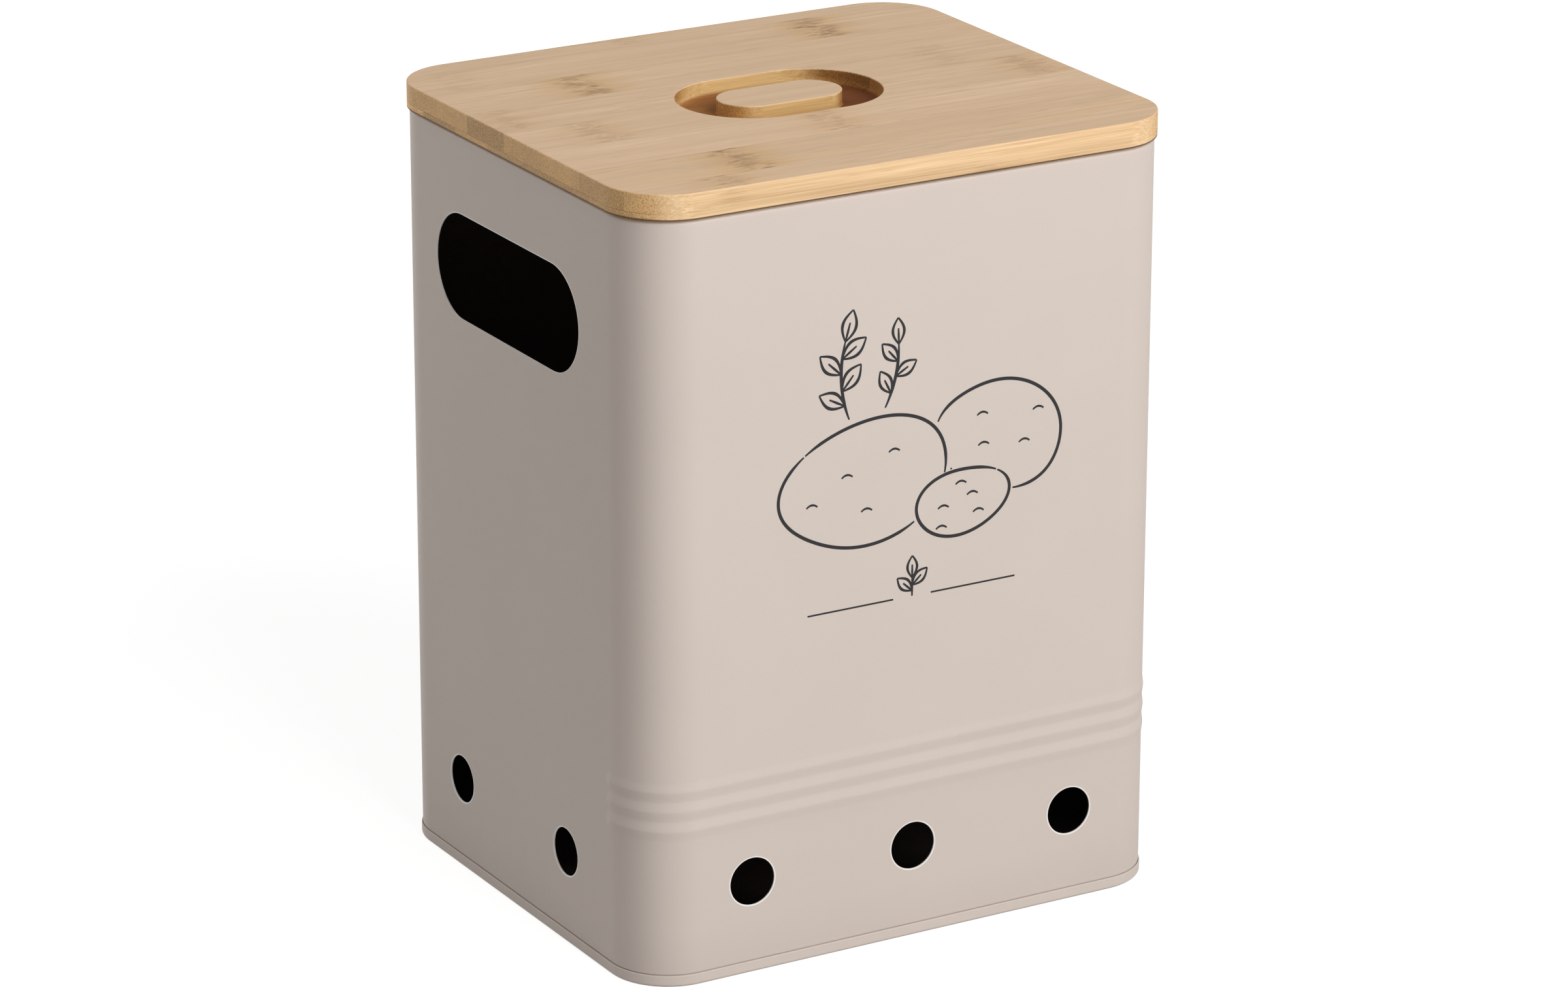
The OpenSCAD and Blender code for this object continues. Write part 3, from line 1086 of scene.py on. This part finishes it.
def node_marks(r):
    """Smudges of short dark strokes where the cane had its growth nodes.
    Gives (dark strokes, soft halo), each from 0 to 1."""
    wander_at = r.join(0.0, r.times(r.y, 0.16), r.seed)
    wander = r.ramp(r.noise(wander_at, 1.0, 2, 0.7), 0.25, 0.75, -NODE_WANDER, NODE_WANDER, smooth=False)
    moved = r.math("ADD", r.x, wander)
    dark, halo = 0.0, 0.0
    for fact in ("marks", "more_marks"):
        place, strength, _ = r.split(r.fact(fact))
        away = r.apart(moved, place)
        dark = r.math("ADD", dark, r.times(r.ramp(away, *NODE_REACH), strength))
        halo = r.math("ADD", halo, r.times(r.ramp(away, *HALO_REACH), strength))
    strokes = spots(r, (0.12, 0.44, 0.44), 0.60, 0.12)
    specks = spots(r, (0.27, 0.90, 0.90), 0.50, 0.15)
    smudge = r.ramp(r.noise(r.shifted, (0.09, 0.2, 0.2), 2), 0.42, 0.62, 0.0, 0.5)
    drawn = r.math("MAXIMUM", r.math("MAXIMUM", strokes, r.times(specks, 0.8)), smudge)
    return r.times(dark, drawn, clamp=True), r.math("MINIMUM", halo, 1.0)


def brown_grain(r):
    """Grain of the faces and long edges, as a factor for each of the colours."""
    thread = r.ramp(r.fibres, 0.28, 0.72, 0.95, 1.05, smooth=False)
    thread = r.math("POWER", thread, r.ramp(r.flat, 0.0, 1.0, 4.0, 1.0))
    streak = r.ramp(r.streaks, 0.25, 0.75, 0.88, 1.12, smooth=False)
    dash = r.ramp(r.noise(r.shifted, (0.06, 1.1, 1.1), 2, 0.6), 0.56, 0.74, 1.02, 0.84)
    patch = r.ramp(r.noise(r.shifted, (0.012, 0.07, 0.07), 2), 0.35, 0.65, 0.35, 1.3)
    streak = r.math("POWER", r.times(streak, dash), patch)
    grain = r.times(streak, thread, r.ramp(r.bands, 0.32, 0.68, 0.95, 1.05))
    return r.join(r.math("POWER", grain, 0.75), grain, r.math("POWER", grain, 1.4))


def long_grain(r, tone, warmth, dark_marks, halo):
    """Colour of the faces and long edges."""
    # Level faces take the paler face colour, which is partly painted sheen
    colour = r.mix(r.flat, SIDE_COLOUR, SHEENED_FACE_COLOUR)
    warm = r.times(r.ramp(r.bands, 0.35, 0.62), warmth, clamp=True)
    colour = r.mix(r.times(warm, 0.55), colour, WARM_COLOUR)
    colour = r.mix(r.times(halo, r.ramp(r.flat, 0.0, 1.0, 0.1, 0.55)), colour, HALO_COLOUR)
    colour = r.vector("MULTIPLY", r.tint(colour, tone), brown_grain(r))
    return r.mix(r.times(dark_marks, r.ramp(r.flat, 0.0, 1.0, 0.3, 0.95)), colour, NODE_COLOUR)


def end_grain(r, tone, pores):
    """Colour of the end grain: gritty wood with dark pores."""
    grit = r.ramp(r.noise(r.shifted, (0.1, 2.2, 2.2), 3, 0.7), 0.3, 0.7, 0.74, 1.18, smooth=False)
    level = r.times(r.ramp(r.bands, 0.3, 0.7, 0.95, 1.04), grit, tone)
    coarse = r.ramp(tone, 1.0, 0.75, 0.5, 0.75)
    return r.mix(r.times(pores, coarse), r.tint(END_COLOUR[:3], level), PORE_COLOUR)


def in_groove(r):
    """1 on the walls and floor of the milled grip."""
    found = r.ramp(r.z, *GROOVE_FADE)
    for axis, half in ((r.x, GRIP_L / 2), (r.y, GRIP_W / 2)):
        found = r.times(found, r.math("LESS_THAN", r.math("ABSOLUTE", axis), half + GROOVE_MARGIN))
    return r.times(found, r.math("GREATER_THAN", r.z, GROOVE_FLOOR - GROOVE_UNDER))


def painted_groove_shade(r, colour, groove):
    """Painted shade: darkens the colour in the recess of the milled grip, more towards its right end, where
    the rim shades the floor.
    """
    to_right = r.ramp(r.x, -GRIP_L / 2, GRIP_L / 2)
    shade = r.mix(r.end, GROOVE_WALL_PAINTED_SHADE, r.mix(to_right, *GROOVE_END_PAINTED_SHADES))
    shade = r.mix(r.flat, shade, r.mix(to_right, *GROOVE_BED_PAINTED_SHADES))
    return r.mix(groove, colour, r.vector("MULTIPLY", colour, shade))


def glue_lines(r, colour):
    """Fine lines between the plies and between the strips."""
    ply = r.times(r.ramp(r.apart(r.z, PLY_Z), *PLY_LINE), r.ramp(r.streaks, 0.35, 0.65, 0.2, 0.6),
                  r.ramp(r.end, 0.2, 1.0, 0.12, 1.0))
    low, high, _ = r.split(r.fact("joints"))
    away = r.math("MINIMUM", r.apart(r.y, low), r.apart(r.y, high))
    joint = r.times(r.ramp(away, *JOINT_LINE), r.ramp(r.bands, 0.4, 0.65, 0.0, 0.3))
    return r.mix(r.math("MAXIMUM", ply, joint), colour, GLUE_COLOUR)


def painted_foot_shadow(r, colour):
    """Painted shadow: a dark line along the foot of the lid's edge, where it sits on the rim."""
    top = r.ramp(r.end, 0.0, 1.0, FOOT_SHADOW_LONG, FOOT_SHADOW_END)
    line = r.times(r.ramp(r.z, top, FOOT_SHADOW_FULL, 0.0, FOOT_SHADOW_DEPTH),
                   r.math("GREATER_THAN", r.z, FOOT_SHADOW_STOP), r.math("SUBTRACT", 1.0, r.flat))
    return r.mix(line, colour, FOOT_SHADOW_COLOUR)


def bamboo_material():
    """Laminated bamboo: long fine fibres on the faces and long edges, stippled
    bundles on the end grain, smudged growth nodes, and a tone for each strip."""
    r = Bamboo("laminated_bamboo")
    face_tone, end_tone, warmth = r.split(r.fact("tone"))
    dark_marks, halo = node_marks(r)
    pores = r.ramp(r.cells(r.vector("MULTIPLY", r.shifted, (0.1, 1.65, 1.65)), 0.8), 0.45, 0.24)
    groove = in_groove(r)
    colour = r.mix(r.end, long_grain(r, face_tone, warmth, dark_marks, halo), end_grain(r, end_tone, pores))
    # Painted shade in the recess of the grip
    colour = painted_groove_shade(r, colour, groove)
    # Glue lines, then a painted shadow along the foot of the lid's edge
    colour = painted_foot_shadow(r, glue_lines(r, colour))

    raised = r.times(r.fibres, r.math("SUBTRACT", 1.0, r.end))
    pits = r.math("ADD", dark_marks, r.times(pores, r.end, 0.6))
    r.bump(r.math("SUBTRACT", raised, pits), 0.05, 0.7)
    rough = r.math("MAXIMUM", r.ramp(r.fibres, 0.3, 0.7, 0.5, 0.6), r.times(groove, 0.95))
    return r.set(Base_Color=colour, Roughness=rough, Specular_IOR_Level=0.3)


# Stage, light and camera. The floor and the lamps are in metres.

CAM_FOCAL = 139.65
CAM_SENSOR = 36.0
CAM_AZIMUTH = math.radians(-30.252)
CAM_ELEVATION = math.radians(19.24)
CAM_ROLL = math.radians(0.123)
CAM_DISTANCE = 2283.06
CAM_TARGET_Z = 150.0
CAM_SHIFT_RIGHT = 2.056
CAM_SHIFT_UP = -5.509
CAM_CLIP = (0.05, 30)


def direction(azimuth, elevation):
    """Unit vector from the object towards a viewer: azimuth 0 is the front."""
    return Vector((math.sin(azimuth) * math.cos(elevation),
                   -math.cos(azimuth) * math.cos(elevation), math.sin(elevation)))


def make_camera():
    back = direction(CAM_AZIMUTH, CAM_ELEVATION)
    right = Vector((math.cos(CAM_AZIMUTH), math.sin(CAM_AZIMUTH), 0))
    up = back.cross(right)
    target = Vector((0, 0, CAM_TARGET_Z)) + right * CAM_SHIFT_RIGHT + up * CAM_SHIFT_UP
    c, s = math.cos(CAM_ROLL), math.sin(CAM_ROLL)
    axes = Matrix((right * c + up * s, up * c - right * s, back)).transposed()
    data = bpy.data.cameras.new("camera")
    data.sensor_width = CAM_SENSOR
    data.lens = CAM_FOCAL
    data.clip_start, data.clip_end = CAM_CLIP
    camera = place_object("camera", data)
    camera.matrix_world = Matrix.Translation((target + back * CAM_DISTANCE) * MM) @ axes.to_4x4()
    bpy.context.scene.camera = camera


FLOOR_HALF = 6.0
FLOOR_LEVEL = 0.50
FLOOR_SEEN = 0.34
FLOOR_GLOW = 0.83
FLOOR_FADE = (0.4, 1.4)
WORLD_LEVEL = 0.23
WORLD_TINT = (1.0, 0.975, 0.94, 1.0)


def make_floor():
    """Pale floor that keeps a soft shadow and fades to white farther out."""
    bm = bmesh.new()
    bmesh.ops.create_grid(bm, x_segments=1, y_segments=1, size=FLOOR_HALF)
    mesh = bpy.data.meshes.new("floor")
    bm.to_mesh(mesh)
    bm.free()
    floor = place_object("floor", mesh)
    material = bpy.data.materials.new("floor")
    material.use_nodes = True
    material.node_tree.nodes.clear()
    r = Nodes(material.node_tree)
    away = r.vector("LENGTH", r.node("ShaderNodeTexCoord").outputs["Object"])
    plain = r.node("ShaderNodeBsdfDiffuse", Color=(FLOOR_LEVEL,) * 3 + (1,))
    shown = r.node("ShaderNodeBsdfDiffuse", Color=(FLOOR_SEEN,) * 3 + (1,))
    glow = r.node("ShaderNodeEmission", Strength=r.ramp(away, *FLOOR_FADE, FLOOR_GLOW, 1.0))
    both = r.node("ShaderNodeAddShader", inputs=(shown.outputs[0], glow.outputs[0]))
    r.show("ShaderNodeOutputMaterial", plain, both)
    mesh.materials.append(material)


def make_world():
    world = bpy.data.worlds.new("studio")
    bpy.context.scene.world = world
    world.use_nodes = True
    world.node_tree.nodes.clear()
    r = Nodes(world.node_tree)
    dim = r.node("ShaderNodeBackground", Color=WORLD_TINT, Strength=WORLD_LEVEL)
    white = r.node("ShaderNodeBackground", Color=(1, 1, 1, 1))
    r.show("ShaderNodeOutputWorld", dim, white)


# Each lamp: azimuth and elevation in degrees, distance and size in metres, watts
LAMPS = {
    "key": (11, 34, 2.0, 1.5, 34.5),
    "fill": (-152, 24, 2.0, 1.2, 12.0),
}


def make_lamps():
    for name, (azimuth, elevation, distance, size, watts) in LAMPS.items():
        data = bpy.data.lights.new(name, "AREA")
        data.shape = "SQUARE"
        data.size = size
        data.energy = watts
        lamp = place_object(name, data)
        back = direction(math.radians(azimuth), math.radians(elevation))
        lamp.location = Vector((0, 0, CAM_TARGET_Z * MM)) + back * distance
        lamp.rotation_mode = "QUATERNION"
        lamp.rotation_quaternion = back.to_track_quat("Z", "Y")


paint = paint_material()
inside_shade = inside_shade_material()
bamboo = bamboo_material()
steel_body(paint, inside_shade, edge_material())
bottom_seam(paint, inside_shade)
front_print(ink_material())
lid_strips(bamboo)
plug_board(bamboo)
silicone_ring(silicone_material())

make_camera()
make_floor()
make_world()
make_lamps()
bpy.context.scene.view_settings.view_transform = "Standard"
